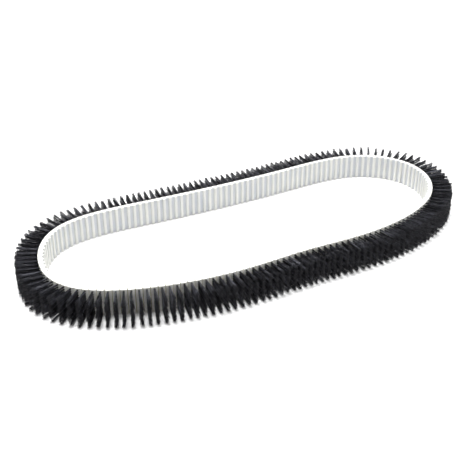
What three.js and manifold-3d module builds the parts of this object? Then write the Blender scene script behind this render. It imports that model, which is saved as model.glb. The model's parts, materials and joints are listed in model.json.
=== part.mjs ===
// An endless brush belt: a toothed drive belt with steel tension cords inside, a thick backing layer that is
// slit between the teeth so that it can bend, and a row of brush tufts standing out of the backing over each
// tooth. The belt lies on its edge in a loose loop, +Z up, with the loop's long axis along X.
// Millimetres. The belt is cut at some of its tooth gaps into sections, which hinge where the real belt flexes.

import * as THREE from "three";
import { mergeVertices } from "three/addons/utils/BufferGeometryUtils.js";
import Module from "manifold-3d";

const manifoldLibrary = await Module();
manifoldLibrary.setup();

// The whole belt.
const toothPitch = 10; // from tooth to tooth, along the cords
const sectionCount = 12;
const teethPerSection = 13;
const beltWidth = 40; // the belt's height as it stands on its edge
const hingeGap = 0.4; // between the cut ends of two sections
const openGap = 1.2; // the same, where the loop is left open so that the hinges can be a chain
const openPlace = 82; // where it is left open, in teeth from the start of the loop's curve

// The toothed belt. The cords run in the middle of its web, and that line keeps its length as the belt bends.
const webThickness = 2;
const toothHeight = 2.5;
const toothBaseWidth = 5.3;
const toothTipWidth = 3.5;

// The steel cord ply, sealed inside the web.
const cordPlyThickness = 0.6;
const cordEdgeMargin = 2; // from the ply to the belt's edges
const cordClearance = 0.3;

// The slit backing, outside the web.
const bondLine = 1; // space between the web and the backing, where the tufts are anchored
const backingThickness = 3.5;
const slitWidth = 1;
const slitFloor = 0.7; // what is left of the backing under a slit

// The brush rows, one over each tooth.
const bristleLength = 32; // out of the backing's face
const rowRootThickness = 2.4;
const rowTipThickness = 4;
const rowEdgeMargin = 0.8; // from a row's foot to the belt's edges
const rowTipRise = 1.2; // how far the tips spread above the belt's upper edge
const rowClearance = 0.3; // round a row's foot, in its slot
const anchorThickness = 0.4;

// The loop's shape: the corners of the smooth curve that the cords follow, going round anticlockwise from the
// back left. Only the proportions count, because the curve is scaled to the belt's length.
const loopCorners = [
  [-299, 130],
  [-351, -29],
  [-261, -99],
  [-106, -129],
  [15, -115],
  [134, -130],
  [294, -86],
  [349, 33],
  [270, 126],
  [116, 112],
  [-33, 114],
  [-135, 120],
];

const toothCount = sectionCount * teethPerSection;
const beltLength = toothCount * toothPitch;

// Distances from the cord line, outwards positive.
const webInside = -webThickness / 2;
const webOutside = webThickness / 2;
const toothTip = webInside - toothHeight;
const anchorInside = webOutside + (bondLine - anchorThickness) / 2;
const anchorOutside = anchorInside + anchorThickness;
const backingInside = webOutside + bondLine;
const backingOutside = backingInside + backingThickness;
const slitBottom = backingInside + slitFloor;
const bristleTip = backingOutside + bristleLength;

const materials = {
  belt: new THREE.MeshStandardMaterial({ color: 0xe9e9e4, roughness: 0.5, metalness: 0 }),
  cords: new THREE.MeshStandardMaterial({ color: 0x9aa0a6, roughness: 0.35, metalness: 1 }),
  backing: new THREE.MeshStandardMaterial({ color: 0xf1f1ee, roughness: 0.55, metalness: 0 }),
  bristles: new THREE.MeshStandardMaterial({ color: 0x16171b, roughness: 0.45, metalness: 0 }),
};

// A closed, smooth curve that is drawn towards its corners: the uniform cubic B-spline, which has no sudden
// change of bend anywhere.
class LoopCurve extends THREE.Curve {
  constructor(corners, scale) {
    super();
    this.corners = corners;
    this.scale = scale;
    this.arcLengthDivisions = 4000;
  }

  getPoint(u, target = new THREE.Vector3()) {
    const count = this.corners.length;
    const place = (((u % 1) + 1) % 1) * count;
    const first = Math.floor(place);
    const t = place - first;
    const weights = [
      (1 - t) ** 3 / 6,
      (3 * t ** 3 - 6 * t ** 2 + 4) / 6,
      (-3 * t ** 3 + 3 * t ** 2 + 3 * t + 1) / 6,
      t ** 3 / 6,
    ];
    target.set(0, 0, 0);
    weights.forEach((weight, i) => {
      const [x, y] = this.corners[(first + i - 1 + count) % count];
      target.x += weight * x * this.scale;
      target.y += weight * y * this.scale;
    });
    return target;
  }
}

const plainLoop = new LoopCurve(loopCorners, 1);
const cordLine = new LoopCurve(loopCorners, beltLength / plainLoop.getLength());

// The point at a distance along the cord line from the open place, moved outwards from it, as a Vector2.
function beltPoint(along, outwards) {
  const share = ((along + openPlace * toothPitch) / beltLength + 1) % 1;
  const point = cordLine.getPointAt(share);
  const tangent = cordLine.getTangentAt(share);
  return new THREE.Vector2(point.x + outwards * tangent.y, point.y - outwards * tangent.x);
}

// The place and the directions of one tooth, at the middle of its stretch of belt.
function toothFrame(tooth) {
  const along = (tooth + 0.5) * toothPitch;
  const origin = beltPoint(along, 0);
  const outward = beltPoint(along, 1).sub(origin);
  const forward = new THREE.Vector2(-outward.y, outward.x);
  return { origin, outward, forward };
}

function pointAtTooth(frame, forwards, outwards) {
  return frame.origin
    .clone()
    .addScaledVector(frame.forward, forwards)
    .addScaledVector(frame.outward, outwards);
}

// A plan outline carried up from one height to another.
function upright(outline, bottom, top) {
  const geometry = new THREE.ExtrudeGeometry(new THREE.Shape(outline), {
    depth: top - bottom,
    bevelEnabled: false,
  });
  return geometry.translate(0, 0, bottom);
}

function toSolid(geometry) {
  const bare = geometry.clone();
  bare.deleteAttribute("normal");
  bare.deleteAttribute("uv");
  const merged = mergeVertices(bare, 1e-4);
  return new manifoldLibrary.Manifold(
    new manifoldLibrary.Mesh({
      numProp: 3,
      vertProperties: merged.attributes.position.array,
      triVerts: new Uint32Array(merged.index.array),
    }),
  );
}

function toGeometry(solid) {
  const mesh = solid.getMesh();
  const geometry = new THREE.BufferGeometry();
  geometry.setAttribute("position", new THREE.BufferAttribute(mesh.vertProperties, 3));
  geometry.setIndex(new THREE.BufferAttribute(mesh.triVerts, 1));
  geometry.computeVertexNormals();
  return geometry;
}

function teethOf(section) {
  return Array.from({ length: teethPerSection }, (_, i) => section * teethPerSection + i);
}

// The distances along the belt at a section's two ends, kept back from the hinges, and at its tooth gaps.
function stationsOf(section, gap) {
  const start = section * teethPerSection * toothPitch;
  const end = start + teethPerSection * toothPitch;
  const extraGap = gap > 0 ? openGap - hingeGap : 0;
  const startGap = section === 0 ? gap + extraGap : gap;
  const endGap = section === sectionCount - 1 ? gap + extraGap : gap;
  const inner = teethOf(section)
    .slice(1)
    .map((tooth) => tooth * toothPitch);
  return [start + startGap / 2, ...inner, end - endGap / 2];
}

// The plan outline of a layer that follows the belt between two distances from the cord line.
function layerOutline(section, inside, outside, gap) {
  const stations = stationsOf(section, gap);
  const outer = stations.map((along) => beltPoint(along, outside));
  const inner = stations.map((along) => beltPoint(along, inside));
  return [...outer, ...inner.reverse()];
}

// The web with its teeth on the inner side, and a slot from end to end for the cord ply.
function toothedBeltGeometry(section) {
  const stations = stationsOf(section, hingeGap);
  const outer = stations.map((along) => beltPoint(along, webOutside));
  const inner = teethOf(section).flatMap((tooth) => {
    const frame = toothFrame(tooth);
    return [
      pointAtTooth(frame, -toothBaseWidth / 2, webInside),
      pointAtTooth(frame, -toothTipWidth / 2, toothTip),
      pointAtTooth(frame, toothTipWidth / 2, toothTip),
      pointAtTooth(frame, toothBaseWidth / 2, webInside),
    ];
  });
  const ends = [stations[0], stations.at(-1)].map((along) => beltPoint(along, webInside));
  const outline = [...outer, ends[1], ...inner.reverse(), ends[0]];
  const slotReach = cordPlyThickness / 2 + cordClearance;
  const slotMargin = cordEdgeMargin - cordClearance;
  // The slot runs out through both ends of the section, so it is cut with no gap at the hinges.
  const slotOutline = layerOutline(section, -slotReach, slotReach, 0);
  const slot = upright(slotOutline, slotMargin, beltWidth - slotMargin);
  return toGeometry(toSolid(upright(outline, 0, beltWidth)).subtract(toSolid(slot)));
}

function cordPlyGeometry(section) {
  const outline = layerOutline(section, -cordPlyThickness / 2, cordPlyThickness / 2, hingeGap);
  return upright(outline, cordEdgeMargin, beltWidth - cordEdgeMargin);
}

// The plan outline of a bar that stands on a tooth's stretch of belt, between two distances from the cord line.
function barOutline(tooth, inside, outside, innerThickness, outerThickness) {
  const frame = toothFrame(tooth);
  return [
    pointAtTooth(frame, -innerThickness / 2, inside),
    pointAtTooth(frame, -outerThickness / 2, outside),
    pointAtTooth(frame, outerThickness / 2, outside),
    pointAtTooth(frame, innerThickness / 2, inside),
  ];
}

// The backing: a thin floor with one land over each tooth, and in each land a slot that a brush row comes
// through. The slits between the lands are over the tooth gaps.
function backingGeometry(section) {
  const teeth = teethOf(section);
  const stations = stationsOf(section, slitWidth);
  const lands = teeth.flatMap((tooth, i) => {
    const isFirst = i === 0;
    const isLast = i === teeth.length - 1;
    const start = isFirst ? stations[0] : stations[i] + slitWidth / 2;
    const end = isLast ? stations[i + 1] : stations[i + 1] - slitWidth / 2;
    return [
      ...(isFirst ? [] : [beltPoint(start, slitBottom)]),
      beltPoint(start, backingOutside),
      beltPoint(end, backingOutside),
      ...(isLast ? [] : [beltPoint(end, slitBottom)]),
    ];
  });
  const floor = stations.map((along) => beltPoint(along, backingInside));
  const slotThickness = rowRootThickness + 2 * rowClearance;
  const slotMargin = rowEdgeMargin - rowClearance;
  const slots = teeth.map((tooth) => {
    const outline = barOutline(tooth, webOutside, bristleTip, slotThickness, slotThickness);
    return toSolid(upright(outline, slotMargin, beltWidth - slotMargin));
  });
  const body = toSolid(upright([...lands, ...floor.reverse()], 0, beltWidth));
  return toGeometry(slots.reduce((made, slot) => made.subtract(slot), body));
}

// The brush rows of a section, each a blade that is as thick as its tufts, joined at their feet by the thin
// anchor layer in the bond line. The upper corners of the tips are then raised, as the tufts spread there.
function bristleRowsGeometry(section) {
  const stations = stationsOf(section, hingeGap);
  const rows = teethOf(section).map((tooth) =>
    barOutline(tooth, anchorOutside, bristleTip, rowRootThickness, rowTipThickness),
  );
  const start = beltPoint(stations[0], anchorOutside);
  const end = beltPoint(stations.at(-1), anchorOutside);
  const floor = stations.map((along) => beltPoint(along, anchorInside));
  const outline = [start, ...rows.flat(), end, ...floor.reverse()];
  const geometry = upright(outline, rowEdgeMargin, beltWidth - rowEdgeMargin);
  const tips = rows.flatMap((row) => row.slice(1, 3));
  const position = geometry.attributes.position;
  for (let i = 0; i < position.count; i += 1) {
    const corner = new THREE.Vector2(position.getX(i), position.getY(i));
    const isTip = tips.some((tip) => tip.distanceTo(corner) < 1e-3);
    if (isTip && position.getZ(i) > beltWidth / 2) position.setZ(i, beltWidth + rowTipRise);
  }
  return geometry;
}

function makeSection(section) {
  const number = String(section + 1).padStart(2, "0");
  const pieces = [
    ["toothed_belt_", toothedBeltGeometry(section), materials.belt],
    ["cord_ply_", cordPlyGeometry(section), materials.cords],
    ["slit_backing_", backingGeometry(section), materials.backing],
    ["bristle_rows_", bristleRowsGeometry(section), materials.bristles],
  ];
  const group = new THREE.Group();
  pieces.forEach(([name, geometry, material]) => {
    const mesh = new THREE.Mesh(geometry, material);
    mesh.name = name + number;
    group.add(mesh);
  });
  return group;
}

const brushBelt = new THREE.Group();
for (let section = 0; section < sectionCount; section += 1) {
  brushBelt.add(makeSection(section));
}

// The origin is on the floor, under the middle of the belt.
const middle = new THREE.Box3().setFromObject(brushBelt).getCenter(new THREE.Vector3());
brushBelt.children.forEach((section) => section.position.set(-middle.x, -middle.y, 0));

// Where the hinges are, on the cord line. The first is the open place, between the last section and the first.
brushBelt.userData.hinges = Array.from({ length: sectionCount }, (_, i) => {
  const point = beltPoint(i * teethPerSection * toothPitch, 0);
  return [point.x - middle.x, point.y - middle.y];
});

export default brushBelt;
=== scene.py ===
import json
import math
from collections import namedtuple

import bpy
import numpy as np
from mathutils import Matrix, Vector

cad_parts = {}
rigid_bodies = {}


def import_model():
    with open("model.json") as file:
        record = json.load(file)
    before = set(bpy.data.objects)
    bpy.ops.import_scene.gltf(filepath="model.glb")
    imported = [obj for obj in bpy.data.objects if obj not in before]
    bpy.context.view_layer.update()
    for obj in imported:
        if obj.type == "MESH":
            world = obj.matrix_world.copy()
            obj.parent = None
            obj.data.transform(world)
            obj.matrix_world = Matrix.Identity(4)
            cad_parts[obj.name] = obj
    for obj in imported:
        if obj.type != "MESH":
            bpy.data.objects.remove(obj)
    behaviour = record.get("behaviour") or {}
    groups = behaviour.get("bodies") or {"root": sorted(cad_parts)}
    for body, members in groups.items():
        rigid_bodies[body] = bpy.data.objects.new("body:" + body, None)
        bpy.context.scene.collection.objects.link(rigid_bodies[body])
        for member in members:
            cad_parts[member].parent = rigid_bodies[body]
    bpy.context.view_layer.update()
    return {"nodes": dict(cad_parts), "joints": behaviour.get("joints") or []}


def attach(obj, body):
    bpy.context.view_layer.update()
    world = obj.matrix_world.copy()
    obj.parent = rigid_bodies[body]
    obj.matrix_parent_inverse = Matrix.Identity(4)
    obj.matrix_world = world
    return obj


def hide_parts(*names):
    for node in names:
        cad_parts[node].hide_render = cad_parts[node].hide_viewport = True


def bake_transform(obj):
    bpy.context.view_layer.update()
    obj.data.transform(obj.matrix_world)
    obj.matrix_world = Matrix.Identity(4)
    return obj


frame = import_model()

mm = 0.001

# The belt's sizes, as distances from the line of its cords, outwards positive.
belt = {
    "teethPerSection": 13,
    "width": 40 * mm,
    "webInside": -1 * mm,
    "webOutside": 1 * mm,
    "toothHeight": 2.5 * mm,
    "toothBaseWidth": 5.3 * mm,
    "toothTipWidth": 3.5 * mm,
    "rounding": 0.7 * mm,  # at the foot and the tip of a tooth
    "edgeCut": 0.35 * mm,
    "bondCut": 0.02 * mm,  # the same, where the belt and its backing meet
    "openGap": 0.4 * mm,  # where the loop is left open so that the hinges can be a chain
    "blendReach": 3,  # teeth on each side of a hinge
}

# ---- the loop ----


def meshPoints(node):
    points = np.empty(len(node.data.vertices) * 3, np.float32)
    node.data.vertices.foreach_get("co", points)
    return points.reshape(-1, 3).astype(float)


# The cord plies have corners at every tooth gap, two or four of them within about a millimetre of each other.
# Going round by angle, a gap is a run of corners with no step between them, and its middle is their mean.
def toothGaps(widestGap=2 * mm):
    plies = [node for name, node in frame["nodes"].items() if name.startswith("cord_ply")]
    corners = np.concatenate([meshPoints(ply)[:, :2] for ply in plies])
    corners = np.unique(np.round(corners, 6), axis=0) @ np.array([1, 1j])
    corners = corners[np.argsort(np.angle(corners))]
    isNewGap = np.abs(corners - np.roll(corners, 1)) > widestGap
    firstNewGap = np.flatnonzero(isNewGap)[0]
    corners, isNewGap = np.roll(corners, -firstNewGap), np.roll(isNewGap, -firstNewGap)
    gapNumber = np.cumsum(isNewGap) - 1
    cornersInGap = np.bincount(gapNumber)
    x = np.bincount(gapNumber, corners.real) / cornersInGap
    y = np.bincount(gapNumber, corners.imag) / cornersInGap
    return x + 1j * y


# The gaps, turned so that the first is the open one: one section before the first hinge.
def gapsFromOpenEnd():
    gaps = toothGaps()
    hinge = next(j for j in frame["joints"] if {j["parent"], j["child"]} == {"section_01", "section_02"})
    hingePlace = complex(hinge["pos_m"][0], hinge["pos_m"][1])
    hingeGap = int(np.argmin(np.abs(gaps - hingePlace)))
    return np.roll(gaps, belt["teethPerSection"] - hingeGap)


gaps = gapsFromOpenEnd()
toothCount = len(gaps)
sectionCount = toothCount // belt["teethPerSection"]
# Control points of the smooth closed curve through the gaps: each gap is (before + 4 own + after) / 6.
turns = 2 * np.pi * np.fft.fftfreq(toothCount)
loopControls = np.fft.ifft(np.fft.fft(gaps) * 6 / (4 + 2 * np.cos(turns)))
toothPitch = float(np.mean(np.abs(np.roll(gaps, -1) - gaps)))
print("loop:", toothCount, "teeth,", sectionCount, "sections, pitch", round(toothPitch / mm, 3), "mm")


# The cord line as a uniform cubic B-spline: a weighted sum of four neighbouring control points, by how far
# along (in teeth) a point is. Gives the place and the unit heading as complex numbers.
def cordLine(along):
    along = np.asarray(along, float)
    first = np.floor(along).astype(int)
    t = along - first
    middleWeights = 3 * t**3 - 6 * t**2 + 4, -3 * t**3 + 3 * t**2 + 3 * t + 1
    middleSlopes = 3 * t**2 - 4 * t, -3 * t**2 + 2 * t + 1
    weights = np.stack([(1 - t) ** 3, *middleWeights, t**3], -1) / 6
    slopes = np.stack([-((1 - t) ** 2), *middleSlopes, t**2], -1) / 2
    controls = loopControls[(first[..., None] + np.arange(-1, 3)) % toothCount]
    heading = (controls * slopes).sum(-1)
    return (controls * weights).sum(-1), heading / np.abs(heading)


# A point of the belt: the cord line's place, moved outwards along its normal, at a height.
def beltPoints(along, outwards, height):
    place, heading = cordLine(along)
    spot = place - 1j * heading * outwards
    spot, height = np.broadcast_arrays(spot, height)
    return np.stack([spot.real, spot.imag, height], -1)


# ---- meshes ----


# Makes a smooth-shaded mesh object from points and from groups of faces, each group an array with one face a
# row. The uv and each of the named values have one entry for each point.
def makePiece(name, points, faceGroups, material, uv=None, values=None, sharpAngle=35):
    mesh = bpy.data.meshes.new(name)
    corners = np.concatenate([faces.ravel() for faces in faceGroups]).astype(np.int32)
    sizes = np.concatenate([np.full(len(faces), faces.shape[1]) for faces in faceGroups]).astype(np.int32)
    starts = np.concatenate([[0], np.cumsum(sizes)[:-1]]).astype(np.int32)
    mesh.vertices.add(len(points))
    mesh.vertices.foreach_set("co", points.astype(np.float32).ravel())
    mesh.loops.add(len(corners))
    mesh.loops.foreach_set("vertex_index", corners)
    mesh.polygons.add(len(sizes))
    mesh.polygons.foreach_set("loop_start", starts)
    mesh.polygons.foreach_set("use_smooth", np.ones(len(sizes), bool))
    mesh.update(calc_edges=True)
    if uv is not None:
        mesh.uv_layers.new(name="UVMap").data.foreach_set("uv", uv[corners].astype(np.float32).ravel())
    for key, numbers in (values or {}).items():
        mesh.attributes.new(key, "FLOAT", "POINT").data.foreach_set("value", numbers.astype(np.float32))
    if sharpAngle:
        mesh.set_sharp_from_angle(angle=math.radians(sharpAngle))
    mesh.materials.append(material)
    piece = bpy.data.objects.new(name, mesh)
    bpy.context.scene.collection.objects.link(piece)
    return piece


# The faces of a closed ring of points carried along the belt. Rows follow the belt and columns go round the
# ring: quads join neighbours, and one face closes each end.
def sweptFaces(rows, columns):
    index = np.arange(rows * columns).reshape(rows, columns)
    a, b = index[:-1], index[1:]
    c, d = np.roll(b, -1, axis=1), np.roll(a, -1, axis=1)
    quads = np.stack([a, d, c, b], -1).reshape(-1, 4)
    return [quads, index[:1], index[-1:, ::-1]]


# Each piece covers one stretch of the belt, from the middle of one section to the middle of the next, so that
# it crosses one hinge. The two halves at the open place are stretches of their own. A stretch has its number,
# the gaps where it starts and ends, and the bodies of the sections that it lies on.
Stretch = namedtuple("Stretch", "number start end bodies")


def beltStretches():
    perSection = belt["teethPerSection"]
    middles = [section * perSection + perSection // 2 for section in range(sectionCount)]
    marks = [0, *middles, toothCount]
    for number, (start, end) in enumerate(zip(marks, marks[1:])):
        sections = sorted({max(number, 1), min(number + 1, sectionCount)})
        yield Stretch(number + 1, start, end, [f"section_{section:02d}" for section in sections])


stretches = list(beltStretches())


# Lets a finished piece stand for the nodes of its stretch. A piece on one section follows it; a piece on two
# is fixed in place.
def followSections(piece, stretch, nodeKind):
    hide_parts(*[nodeKind + body.removeprefix("section") for body in stretch.bodies])
    if len(stretch.bodies) == 1:
        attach(piece, stretch.bodies[0])
        return
    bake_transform(piece)


# ---- finishes ----


# Adds a shader node. A setting is the value of one of its input sockets, or else one of its own properties.
def addNode(tree, kind, place, **settings):
    node = tree.nodes.new(kind)
    node.location = place
    for key, value in settings.items():
        if key in node.inputs:
            node.inputs[key].default_value = value
        else:
            setattr(node, key, value)
    return node


# A material with one Principled shader, ready for the nodes that feed it.
def newMaterial(name):
    material = bpy.data.materials.new(name)
    material.use_nodes = True
    tree = material.node_tree
    tree.nodes.clear()
    output = addNode(tree, "ShaderNodeOutputMaterial", (600, 0))
    shader = addNode(tree, "ShaderNodeBsdfPrincipled", (300, 0))
    tree.links.new(shader.outputs[0], output.inputs[0])
    return material, tree, shader


# Cast plastic: broad faint blotches mix the light and the dull colour, painted shade adds more of the dull
# one, and a fine grain changes the gloss and makes the bump.
def makeCastSurface():
    group = bpy.data.node_groups.new("cast surface", "ShaderNodeTree")
    socket = group.interface.new_socket
    for label, kind, value in (
        ("Light Colour", "NodeSocketColor", (0.8, 0.8, 0.8, 1)),
        ("Dull And Shade Colour", "NodeSocketColor", (0.7, 0.7, 0.7, 1)),
        ("Blotch Scale", "NodeSocketFloat", 40.0),
        ("Grain Scale", "NodeSocketFloat", 1500.0),
        ("Gloss Low", "NodeSocketFloat", 0.4),
        ("Gloss High", "NodeSocketFloat", 0.6),
        ("Painted Shade", "NodeSocketFloat", 0.0),
    ):
        socket(name=label, in_out="INPUT", socket_type=kind).default_value = value
    socket(name="Colour", in_out="OUTPUT", socket_type="NodeSocketColor")
    socket(name="Roughness", in_out="OUTPUT", socket_type="NodeSocketFloat")
    socket(name="Height", in_out="OUTPUT", socket_type="NodeSocketFloat")
    inputs = addNode(group, "NodeGroupInput", (-900, 0))
    outputs = addNode(group, "NodeGroupOutput", (500, 0))
    coordinates = addNode(group, "ShaderNodeTexCoord", (-900, -300))
    blotches = addNode(group, "ShaderNodeTexNoise", (-600, 100), Detail=4.0, Roughness=0.6)
    grain = addNode(group, "ShaderNodeTexNoise", (-600, -250), Detail=3.0, Roughness=0.7)
    spread = addNode(group, "ShaderNodeMapRange", (-450, 300), **{"From Min": 0.4, "From Max": 1.6})
    share = addNode(group, "ShaderNodeMath", (-300, 200), operation="ADD", use_clamp=True)
    mix = addNode(group, "ShaderNodeMix", (0, 200), data_type="RGBA")
    gloss = addNode(group, "ShaderNodeMapRange", (0, -100))
    link = group.links.new
    link(coordinates.outputs["Object"], blotches.inputs["Vector"])
    link(coordinates.outputs["Object"], grain.inputs["Vector"])
    link(inputs.outputs["Blotch Scale"], blotches.inputs["Scale"])
    link(inputs.outputs["Grain Scale"], grain.inputs["Scale"])
    link(blotches.outputs["Fac"], spread.inputs["Value"])
    link(spread.outputs["Result"], share.inputs[0])
    link(inputs.outputs["Painted Shade"], share.inputs[1])
    link(share.outputs[0], mix.inputs["Factor"])
    link(inputs.outputs["Light Colour"], mix.inputs["A"])
    link(inputs.outputs["Dull And Shade Colour"], mix.inputs["B"])
    link(mix.outputs["Result"], outputs.inputs["Colour"])
    link(grain.outputs["Fac"], gloss.inputs["Value"])
    link(inputs.outputs["Gloss Low"], gloss.inputs["To Min"])
    link(inputs.outputs["Gloss High"], gloss.inputs["To Max"])
    link(gloss.outputs["Result"], outputs.inputs["Roughness"])
    link(grain.outputs["Fac"], outputs.inputs["Height"])
    return group


castSurface = makeCastSurface()


cast = {
    "grainDepth": 0.05 * mm,
    "glowReach": 1.2 * mm,  # how far light travels inside
    "glowTint": (1.0, 0.95, 0.85),
}


# A cast material, with its own values for the surface and with painted shade where a mesh's attribute says.
def castMaterial(name, look):
    material, tree, shader = newMaterial(name)
    surface = addNode(tree, "ShaderNodeGroup", (-200, 100), node_tree=castSurface)
    for label, value in look["surface"].items():
        surface.inputs[label].default_value = value
    bump = addNode(tree, "ShaderNodeBump", (50, -200), Strength=look["bump"], Distance=cast["grainDepth"])
    tree.links.new(surface.outputs["Colour"], shader.inputs["Base Color"])
    tree.links.new(surface.outputs["Roughness"], shader.inputs["Roughness"])
    tree.links.new(surface.outputs["Height"], bump.inputs["Height"])
    tree.links.new(bump.outputs["Normal"], shader.inputs["Normal"])
    shader.inputs["Subsurface Weight"].default_value = look["glow"]
    shader.inputs["Subsurface Radius"].default_value = cast["glowTint"]
    shader.inputs["Subsurface Scale"].default_value = cast["glowReach"]
    # The mesh attribute is a painted-shade mask: it mixes in more of the dull colour as shade.
    shadeMask = addNode(tree, "ShaderNodeAttribute", (-650, 50), attribute_name=look["shadeAttribute"])
    amount = addNode(tree, "ShaderNodeMath", (-420, 50), operation="MULTIPLY")
    amount.inputs[1].default_value = look["shadeAmount"]
    tree.links.new(shadeMask.outputs["Fac"], amount.inputs[0])
    tree.links.new(amount.outputs[0], surface.inputs["Painted Shade"])
    return material


beltFinish = castMaterial("belt urethane", {
    "surface": {
        "Light Colour": (0.67, 0.67, 0.63, 1),
        "Dull And Shade Colour": (0.47, 0.49, 0.53, 1),
        "Blotch Scale": 25.0,
        "Gloss Low": 0.35,
        "Gloss High": 0.55,
    },
    "bump": 0.15,
    "glow": 0.08,
    "shadeAttribute": "paintedGrooveShade",
    "shadeAmount": 0.75,
})
backingFinish = castMaterial("backing urethane", {
    "surface": {
        "Light Colour": (0.93, 0.93, 0.9, 1),
        "Dull And Shade Colour": (0.45, 0.42, 0.25, 1),
        "Blotch Scale": 60.0,
        "Gloss Low": 0.5,
        "Gloss High": 0.7,
    },
    "bump": 0.25,
    "glow": 0.05,
    "shadeAttribute": "paintedBackingShade",
    "shadeAmount": 0.9,
})


# Black nylon filament: each has its own tone. It is painted darker at its foot, as shade where the tuft is
# packed in its hole, and greys a little at the cut tip.
def makeNylon(look):
    material, tree, shader = newMaterial("black nylon")
    tone = addNode(tree, "ShaderNodeAttribute", (-700, 200), attribute_name="filamentTone")
    reach = addNode(tree, "ShaderNodeAttribute", (-700, 0), attribute_name="alongFilament")
    body = addNode(tree, "ShaderNodeMix", (-400, 200), data_type="RGBA")
    body.inputs["A"].default_value = look["dark"]
    body.inputs["B"].default_value = look["light"]
    tip = addNode(tree, "ShaderNodeMapRange", (-450, 0), **{"From Min": look["tipStart"], "From Max": 1.0})
    # Painted shade: the colour is multiplied darker over the first part of each filament, at the tuft's foot.
    footShadeRamp = addNode(tree, "ShaderNodeMapRange", (-450, 450))
    footShadeRamp.inputs["From Max"].default_value = look["footShadeEnd"]
    footShadeRamp.inputs["To Min"].default_value = look["footShadeTone"]
    shadedBody = addNode(tree, "ShaderNodeMix", (-280, 350), data_type="RGBA", blend_type="MULTIPLY", Factor=1.0)
    worn = addNode(tree, "ShaderNodeMix", (-150, 200), data_type="RGBA")
    worn.inputs["B"].default_value = look["tip"]
    gloss = addNode(tree, "ShaderNodeMapRange", (-150, -50))
    gloss.inputs["To Min"].default_value = look["gloss"][0]
    gloss.inputs["To Max"].default_value = look["gloss"][1]
    link = tree.links.new
    link(tone.outputs["Fac"], body.inputs["Factor"])
    link(reach.outputs["Fac"], tip.inputs["Value"])
    link(tip.outputs["Result"], worn.inputs["Factor"])
    link(reach.outputs["Fac"], footShadeRamp.inputs["Value"])
    link(body.outputs["Result"], shadedBody.inputs["A"])
    link(footShadeRamp.outputs["Result"], shadedBody.inputs["B"])
    link(shadedBody.outputs["Result"], worn.inputs["A"])
    link(worn.outputs["Result"], shader.inputs["Base Color"])
    link(tone.outputs["Fac"], gloss.inputs["Value"])
    link(gloss.outputs["Result"], shader.inputs["Roughness"])
    shader.inputs["Specular IOR Level"].default_value = look["shine"]
    return material


nylonFinish = makeNylon({
    "dark": (0.002, 0.002, 0.003, 1),
    "light": (0.25, 0.255, 0.3, 1),
    "tip": (0.03, 0.03, 0.034, 1),
    "tipStart": 0.85,
    "footShadeEnd": 0.2,  # how far along a filament the painted shade at its foot reaches
    "footShadeTone": 0.05,
    "gloss": (0.26, 0.42),
    "shine": 0.2,
})


# Bright steel for the cords: a clean metal, mottled a little in colour and gloss.
def makeSteel(look):
    material, tree, shader = newMaterial("cord steel")
    coordinates = addNode(tree, "ShaderNodeTexCoord", (-800, 0))
    mottling = addNode(tree, "ShaderNodeTexNoise", (-550, 0), Scale=look["scale"], Detail=3.0)
    colour = addNode(tree, "ShaderNodeMix", (-200, 100), data_type="RGBA")
    colour.inputs["A"].default_value = look["dark"]
    colour.inputs["B"].default_value = look["light"]
    gloss = addNode(tree, "ShaderNodeMapRange", (-200, -150))
    gloss.inputs["To Min"].default_value = look["gloss"][0]
    gloss.inputs["To Max"].default_value = look["gloss"][1]
    link = tree.links.new
    link(coordinates.outputs["Object"], mottling.inputs["Vector"])
    link(mottling.outputs["Fac"], colour.inputs["Factor"])
    link(mottling.outputs["Fac"], gloss.inputs["Value"])
    link(colour.outputs["Result"], shader.inputs["Base Color"])
    link(gloss.outputs["Result"], shader.inputs["Roughness"])
    shader.inputs["Metallic"].default_value = 1.0
    return material


steelFinish = makeSteel({
    "scale": 900.0,
    "dark": (0.42, 0.43, 0.45, 1),
    "light": (0.66, 0.67, 0.69, 1),
    "gloss": (0.22, 0.4),
})
print("finishes made")

# ---- the toothed belt ----


# Rounds the corners of an open chain of points. Each inner corner becomes an arc that starts and ends at the
# same distance from it: a quadratic curve with the corner as its middle control.
def roundedChain(points, reach, steps=4):
    chain = [points[0]]
    for before, corner, after in zip(points, points[1:], points[2:]):
        toBefore, toAfter = before - corner, after - corner
        cut = min(reach, np.linalg.norm(toBefore) / 2.01, np.linalg.norm(toAfter) / 2.01)
        start = corner + toBefore / np.linalg.norm(toBefore) * cut
        end = corner + toAfter / np.linalg.norm(toAfter) * cut
        for t in np.linspace(0, 1, steps):
            chain.append((1 - t) ** 2 * start + 2 * t * (1 - t) * corner + t**2 * end)
    chain.append(points[-1])
    return np.array(chain)


# One pitch of the toothed side, from gap to gap, as (forwards, outwards): flat, up the flank, over the tip
# and down again.
def toothOutline():
    half = toothPitch / 2
    base, tip = belt["toothBaseWidth"] / 2, belt["toothTipWidth"] / 2
    floor, top = belt["webInside"], belt["webInside"] - belt["toothHeight"]
    forwards = (0, half - base, half - tip, half + tip, half + base, 2 * half)
    outwards = (floor, floor, top, top, floor, floor)
    return roundedChain(list(np.stack([forwards, outwards], 1)), belt["rounding"])


# The loop's own two ends stop half the open gap short of its first and last gap.
def clearOfOpenEnd(along):
    halfGap = belt["openGap"] / 2 / toothPitch
    return np.clip(along, halfGap, toothCount - halfGap)


# Repeats one pitch's outline over a stretch. Gives how far along each point is, in teeth, and its distance
# from the cord line.
def repeatedOutline(outline, start, end):
    teeth = np.arange(start, end)
    along = (teeth[:, None] + outline[None, :-1, 0] / toothPitch).ravel()
    outwards = np.tile(outline[:-1, 1], len(teeth))
    return clearOfOpenEnd(np.append(along, end)), np.append(outwards, outline[-1, 1])


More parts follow.
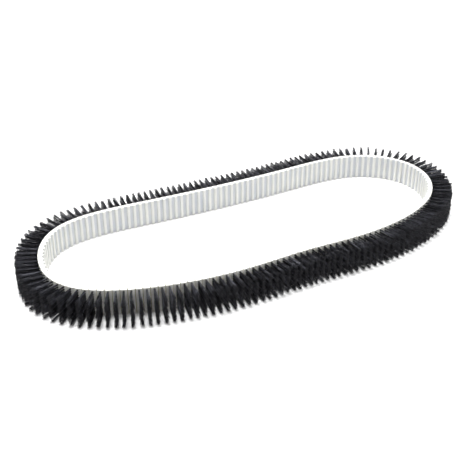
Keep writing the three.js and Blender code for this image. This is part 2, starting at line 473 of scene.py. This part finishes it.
# A layer of the belt between an inner and an outer face, each a distance from the cord line that may change
# along the belt. Its cross-section is a rectangle with its inner and outer corners cut by their own amounts.
# The columns go round it: two on the inner face, two on the upper edge, two on the outer face, two below.
def layerGrid(along, inner, outer, innerCut, outerCut):
    innerCut = np.minimum(innerCut, (outer - inner) / 4)
    outerCut = np.minimum(outerCut, (outer - inner) / 4)
    near, far = inner + innerCut, outer - outerCut
    outwards = np.stack([inner, inner, near, far, outer, outer, far, near], 1)
    low, high = np.zeros_like(inner), np.full_like(inner, belt["width"])
    height = np.stack([innerCut, high - innerCut, high, high, high - outerCut, outerCut, low, low], 1)
    return beltPoints(along[:, None], outwards, height), outwards, height


def makeToothedBelt(stretch):
    along, inner = repeatedOutline(toothOutline(), stretch.start, stretch.end)
    outer = np.full_like(inner, belt["webOutside"])
    points, outwards, height = layerGrid(along, inner, outer, belt["edgeCut"], belt["bondCut"])
    rows, columns = outwards.shape
    depth = (outwards - (belt["webInside"] - belt["toothHeight"])) / belt["toothHeight"]
    isInnerFace = np.isin(np.arange(columns), (0, 1))
    # Painted shade: the inner face is darker towards the floor of each groove.
    paintedGrooveShade = np.clip(depth, 0, 1) ** 4 * isInnerFace
    uv = np.stack([np.repeat(along * toothPitch, columns), height.ravel()], 1)
    piece = makePiece(
        f"toothedBelt_{stretch.number:02d}",
        points.reshape(-1, 3),
        sweptFaces(rows, columns),
        beltFinish,
        uv=uv,
        values={"paintedGrooveShade": paintedGrooveShade.ravel()},
    )
    followSections(piece, stretch, "toothed_belt")


for stretch in stretches:
    makeToothedBelt(stretch)
print("toothed belt made")

# ---- the slit backing ----

backing = {
    "inside": 1.01 * mm,
    "outside": 5.5 * mm,
    "slitWidth": 1.0 * mm,
    "slitBottom": 1.7 * mm,
    "rounding": 0.3 * mm,
    "edgeCut": 0.3 * mm,
    "slitWallLean": 0.02 * mm,  # a slit is this much narrower at its bottom, on each side
    "faceShade": 0.04,  # painted shade on the outer face, against 1 at the bottom of a slit
}


# One pitch of the backing's outer face, from the middle of one slit to the middle of the next.
def landOutline():
    half = backing["slitWidth"] / 2
    lean = backing["slitWallLean"]
    low, high = backing["slitBottom"], backing["outside"]
    forwards = (0, half - lean, half, toothPitch - half, toothPitch - half + lean, toothPitch)
    outwards = (low, low, high, high, low, low)
    return roundedChain(list(np.stack([forwards, outwards], 1)), backing["rounding"])


def makeBacking(stretch):
    along, outer = repeatedOutline(landOutline(), stretch.start, stretch.end)
    inner = np.full_like(outer, backing["inside"])
    points, outwards, height = layerGrid(along, inner, outer, belt["bondCut"], backing["edgeCut"])
    rows, columns = outwards.shape
    depth = (backing["outside"] - outer) / (backing["outside"] - backing["slitBottom"])
    isOuterFace = np.isin(np.arange(columns), (4, 5))
    isOuterSide = np.isin(np.arange(columns), (3, 4, 5, 6))
    # Painted shade: darkest at the bottom of each slit, and a little over the outer face between the bristle
    # rows.
    paintedBackingShade = np.clip(depth, 0, 1)[:, None] * isOuterSide + backing["faceShade"] * isOuterFace
    uv = np.stack([np.repeat(along * toothPitch, columns), height.ravel()], 1)
    piece = makePiece(
        f"slitBacking_{stretch.number:02d}",
        points.reshape(-1, 3),
        sweptFaces(rows, columns),
        backingFinish,
        uv=uv,
        values={"paintedBackingShade": np.clip(paintedBackingShade, 0, 1).ravel()},
    )
    followSections(piece, stretch, "slit_backing")


for stretch in stretches:
    makeBacking(stretch)
print("slit backing made")

# ---- the bristle tufts ----

bristles = {
    "tuftsPerRow": 10,
    "tuftSpacing": 3.8 * mm,
    "filaments": 56,  # in each tuft
    "thickness": 0.3 * mm,
    "taper": (1.0, 0.95, 0.75),  # at the foot, halfway and at the tip
    "length": 33 * mm,  # out of the backing's face
    "tipRise": 2.4 * mm,  # of the uppermost tuft, as the rows fan upwards
    "footDepth": 2 * mm,  # below the face
    "footRadius": 1.2 * mm,
    "tipRadius": 1.9 * mm,
    "crown": 0.4 * mm,  # a tuft's middle stands this much higher than its rim
    "lengthSpread": 0.6 * mm,
    "tuftLengthSpread": 0.4 * mm,
    "rowLean": 0.6,  # degrees along the belt, the same for a whole row
    "tuftLean": 0.7,  # degrees, either way
    "strands": 5,  # that a tuft's filaments cling together in
    "strandLean": 1.3,
    "strandLengthSpread": 0.6 * mm,
    "strandTone": 0.65,  # how much of a filament's tone it shares with its strand
    "filamentLean": 0.5,
    "strayShare": 0.05,  # of the filaments
    "strayLean": 4.0,
    "flare": 1.6,  # how late along its length a filament turns outwards
    "floorClearance": 0.3 * mm,
    "toneBias": 3,  # above 1, few filaments are pale
    "seed": 11,
}


# A random sideways lean with no favoured direction: the real part is along the belt, the imaginary part up.
def drawLean(draw, shape):
    return draw.normal(size=shape) + 1j * draw.normal(size=shape)


# Every tuft's filaments at once: a sunflower pattern in the tuft's hole, which spreads to a wider disc at the
# tips, plus leans drawn at random for the row, the tuft, the strand and the filament. Every fifth filament of
# the sunflower lies on the same spiral arm, which makes one of five strands.
def filamentCourses():
    draw = np.random.default_rng(bristles["seed"])
    rows, tufts, count = toothCount, bristles["tuftsPerRow"], bristles["filaments"]
    perTuft, perFilament = (rows, tufts, 1), (rows, tufts, count)
    perStrand = (rows, tufts, bristles["strands"])
    goldenAngle = np.pi * (3 - np.sqrt(5))
    order = np.arange(count)
    strandOf = order % bristles["strands"]
    angle = order * goldenAngle + draw.uniform(0, 2 * np.pi, perTuft)
    radius = np.sqrt((order + 0.5) / count)
    disc = radius * np.exp(1j * angle)

    lean = np.radians(bristles["rowLean"]) * draw.normal(size=(rows, 1, 1))
    lean = lean + np.radians(bristles["tuftLean"]) * drawLean(draw, perTuft)
    isStray = draw.uniform(size=perFilament) < bristles["strayShare"]
    ownLean = np.radians(np.where(isStray, bristles["strayLean"], bristles["filamentLean"]))
    lean = lean + ownLean * drawLean(draw, perFilament)
    lean = lean + np.radians(bristles["strandLean"]) * drawLean(draw, perStrand)[..., strandOf]

    length = bristles["length"] + bristles["tuftLengthSpread"] * draw.normal(size=perTuft)
    length = length - bristles["lengthSpread"] * np.abs(draw.normal(size=perFilament))
    length = length - bristles["crown"] * radius**2
    length = length - bristles["strandLengthSpread"] * np.abs(draw.normal(size=perStrand))[..., strandOf]

    foot = disc * bristles["footRadius"]
    rise = bristles["tipRise"] * (np.arange(tufts)[:, None] / (tufts - 1)) ** 2
    tip = disc * bristles["tipRadius"] + lean * length + 1j * rise
    own = draw.uniform(0, 1, perFilament)
    shared = draw.uniform(0, 1, perStrand)[..., strandOf]
    tone = own + (shared - own) * bristles["strandTone"]
    return foot, tip, length, own, tone


filamentFoot, filamentTip, filamentLength, filamentTurn, filamentTone = filamentCourses()


# A filament is a rod with three rings of three corners, at its foot, halfway and at its tip.
rodSides = np.array([[0, 1, 4, 3], [1, 2, 5, 4], [2, 0, 3, 5], [3, 4, 7, 6], [4, 5, 8, 7], [5, 3, 6, 8]])
rodEnds = np.array([[0, 2, 1], [6, 7, 8]])
rodPoints = 9


# The filaments of a stretch's rows. A filament's sideways offset grows from its foot to its tip with a power
# of the share of its length, and is turned from the tuft's own axes to the belt's heading and height.
def makeTufts(stretch):
    rows = slice(stretch.start, stretch.end)
    share = np.array([0.0, 0.5, 1.0])
    turn = np.exp(2j * np.pi * filamentTurn[rows])[..., None, None]
    corner = turn * np.exp(2j * np.pi * np.arange(3) / 3) * bristles["thickness"] / 2
    foot, tip = filamentFoot[rows, ..., None], filamentTip[rows, ..., None]
    offset = foot + (tip - foot) * share ** bristles["flare"]
    offset = offset[..., None] + corner * np.array(bristles["taper"])[:, None]
    wholeLength = filamentLength[rows, ..., None] + bristles["footDepth"]
    out = backing["outside"] - bristles["footDepth"] + wholeLength * share

    firstTuft = (belt["width"] - bristles["tuftSpacing"] * (bristles["tuftsPerRow"] - 1)) / 2
    tuftHeight = firstTuft + bristles["tuftSpacing"] * np.arange(bristles["tuftsPerRow"])
    height = tuftHeight[:, None, None, None] + offset.imag
    height = np.maximum(height, bristles["floorClearance"])
    place, heading = cordLine(np.arange(stretch.start, stretch.end) + 0.5)
    place, heading = (part[:, None, None, None, None] for part in (place, heading))
    spot = place + heading * offset.real - 1j * heading * out[..., None]
    points = np.stack([spot.real, spot.imag, height], -1).reshape(-1, 3)

    count = len(points) // rodPoints
    first = rodPoints * np.arange(count)[:, None, None]
    tones = filamentTone[rows].ravel() ** bristles["toneBias"]
    piece = makePiece(
        f"bristleTufts_{stretch.number:02d}",
        points,
        [(first + rodSides).reshape(-1, 4), (first + rodEnds).reshape(-1, 3)],
        nylonFinish,
        values={
            "filamentTone": np.repeat(tones, rodPoints),
            "alongFilament": np.tile(np.repeat(share, 3), count),
        },
        sharpAngle=None,
    )
    followSections(piece, stretch, "bristle_rows")


for stretch in stretches:
    makeTufts(stretch)
print("bristle tufts made:", toothCount * bristles["tuftsPerRow"])

# ---- inside the belt ----

cords = {
    "count": 26,
    "radius": 0.45 * mm,
    "edgeMargin": 2.4 * mm,  # from the belt's edge to the middle of the outermost cord
    "stepsPerTooth": 2,
    "sides": 6,
}


# The steel tension cords of a stretch, side by side over the belt's width: each a ring carried along the cord
# line.
def makeCords(stretch):
    steps = (stretch.end - stretch.start) * cords["stepsPerTooth"]
    along = clearOfOpenEnd(np.linspace(stretch.start, stretch.end, steps + 1))
    ring = np.exp(-2j * np.pi * np.arange(cords["sides"]) / cords["sides"]) * cords["radius"]
    heights = np.linspace(cords["edgeMargin"], belt["width"] - cords["edgeMargin"], cords["count"])
    points = beltPoints(along[:, None], ring.real, heights[:, None, None] + ring.imag).reshape(-1, 3)
    firstOfCord = np.arange(cords["count"])[:, None, None] * len(along) * cords["sides"]
    oneCord = sweptFaces(len(along), cords["sides"])
    faces = [(firstOfCord + part).reshape(-1, part.shape[1]) for part in oneCord]
    piece = makePiece(f"tensionCords_{stretch.number:02d}", points, faces, steelFinish)
    followSections(piece, stretch, "cord_ply")


for stretch in stretches:
    makeCords(stretch)
print("tension cords made")

# ---- studio ----

studio = {
    "cameraPlace": (-0.5573, -0.9652, 0.6430),
    "cameraTurn": 28.5,  # degrees clockwise from +Y
    "cameraTilt": 29.78,  # degrees down
    "lens": 63.2,
    "sensor": 36.0,
    "floorSize": 8.0,
    "floorColour": (0.93, 0.93, 0.93, 1),
    "floorRoughness": (0.75, 0.9),
    "floorGlow": (0.05, 0.5),  # near the belt and far away, where the lights fade
    "floorGlowReach": (1.2, 3.6),  # the distances of both, in metres
    "horizonStrength": 0.1,
    "zenithStrength": 0.65,
    "lights": {  # place, size and power
        "overhead": ((-0.15, 0.5, 2.6), 1.0, 100.0),
        "left": ((-2.0, 0.9, 1.6), 0.6, 5.0),
        "front": ((1.1, -1.6, 1.7), 1.0, 19.0),
    },
}


def makeCamera():
    data = bpy.data.cameras.new("camera")
    data.lens = studio["lens"]
    data.sensor_width = studio["sensor"]
    camera = bpy.data.objects.new("camera", data)
    bpy.context.scene.collection.objects.link(camera)
    turn, tilt = math.radians(studio["cameraTurn"]), math.radians(studio["cameraTilt"])
    looking = Vector((math.sin(turn) * math.cos(tilt), math.cos(turn) * math.cos(tilt), -math.sin(tilt)))
    camera.location = studio["cameraPlace"]
    camera.rotation_euler = looking.to_track_quat("-Z", "Y").to_euler()
    bpy.context.scene.camera = camera


# A white floor that gives off a little light of its own, more of it further from the belt.
def makeFloor():
    material, tree, shader = newMaterial("white sweep")
    coordinates = addNode(tree, "ShaderNodeTexCoord", (-600, 0))
    noise = addNode(tree, "ShaderNodeTexNoise", (-400, 0), Scale=3.0)
    gloss = addNode(tree, "ShaderNodeMapRange", (-150, -100))
    gloss.inputs["To Min"].default_value, gloss.inputs["To Max"].default_value = studio["floorRoughness"]
    distance = addNode(tree, "ShaderNodeVectorMath", (-400, -300), operation="LENGTH")
    glow = addNode(tree, "ShaderNodeMapRange", (-150, -400))
    glow.inputs["From Min"].default_value, glow.inputs["From Max"].default_value = studio["floorGlowReach"]
    glow.inputs["To Min"].default_value, glow.inputs["To Max"].default_value = studio["floorGlow"]
    link = tree.links.new
    link(coordinates.outputs["Object"], noise.inputs["Vector"])
    link(noise.outputs["Fac"], gloss.inputs["Value"])
    link(gloss.outputs["Result"], shader.inputs["Roughness"])
    link(coordinates.outputs["Object"], distance.inputs[0])
    link(distance.outputs["Value"], glow.inputs["Value"])
    link(glow.outputs["Result"], shader.inputs["Emission Color"])
    shader.inputs["Base Color"].default_value = studio["floorColour"]
    shader.inputs["Emission Strength"].default_value = 1.0
    half = studio["floorSize"] / 2
    corners = np.array([(-half, -half, 0), (half, -half, 0), (half, half, 0), (-half, half, 0)])
    floor = makePiece("floor", corners, [np.array([[0, 1, 2, 3]])], material)


# The sky lights the object softly, most from above, and is plain white where the camera sees it.
def makeSky():
    world = bpy.data.worlds.new("studio")
    world.use_nodes = True
    tree = world.node_tree
    sky = tree.nodes["Background"]
    sky.inputs["Color"].default_value = (1, 1, 1, 1)
    direction = addNode(tree, "ShaderNodeTexCoord", (-900, -200))
    axes = addNode(tree, "ShaderNodeSeparateXYZ", (-700, -200))
    light = addNode(tree, "ShaderNodeMapRange", (-500, -200))
    light.inputs["To Min"].default_value = studio["horizonStrength"]
    light.inputs["To Max"].default_value = studio["zenithStrength"]
    ray = addNode(tree, "ShaderNodeLightPath", (-500, 100))
    strength = addNode(tree, "ShaderNodeMix", (-250, 0), data_type="FLOAT")
    strength.inputs["B"].default_value = 1.0
    link = tree.links.new
    link(direction.outputs["Generated"], axes.inputs["Vector"])
    link(axes.outputs["Z"], light.inputs["Value"])
    link(ray.outputs["Is Camera Ray"], strength.inputs["Factor"])
    link(light.outputs["Result"], strength.inputs["A"])
    link(strength.outputs["Result"], sky.inputs["Strength"])
    bpy.context.scene.world = world


def makeLight(name, place, size, power):
    data = bpy.data.lights.new(name, "AREA")
    data.energy = power
    data.size = size
    light = bpy.data.objects.new(name, data)
    light.location = place
    light.rotation_euler = (-Vector(place)).to_track_quat("-Z", "Y").to_euler()
    bpy.context.scene.collection.objects.link(light)


makeCamera()
makeFloor()
makeSky()
for name, (place, size, power) in studio["lights"].items():
    makeLight(name, place, size, power)
bpy.context.scene.view_settings.view_transform = "Standard"
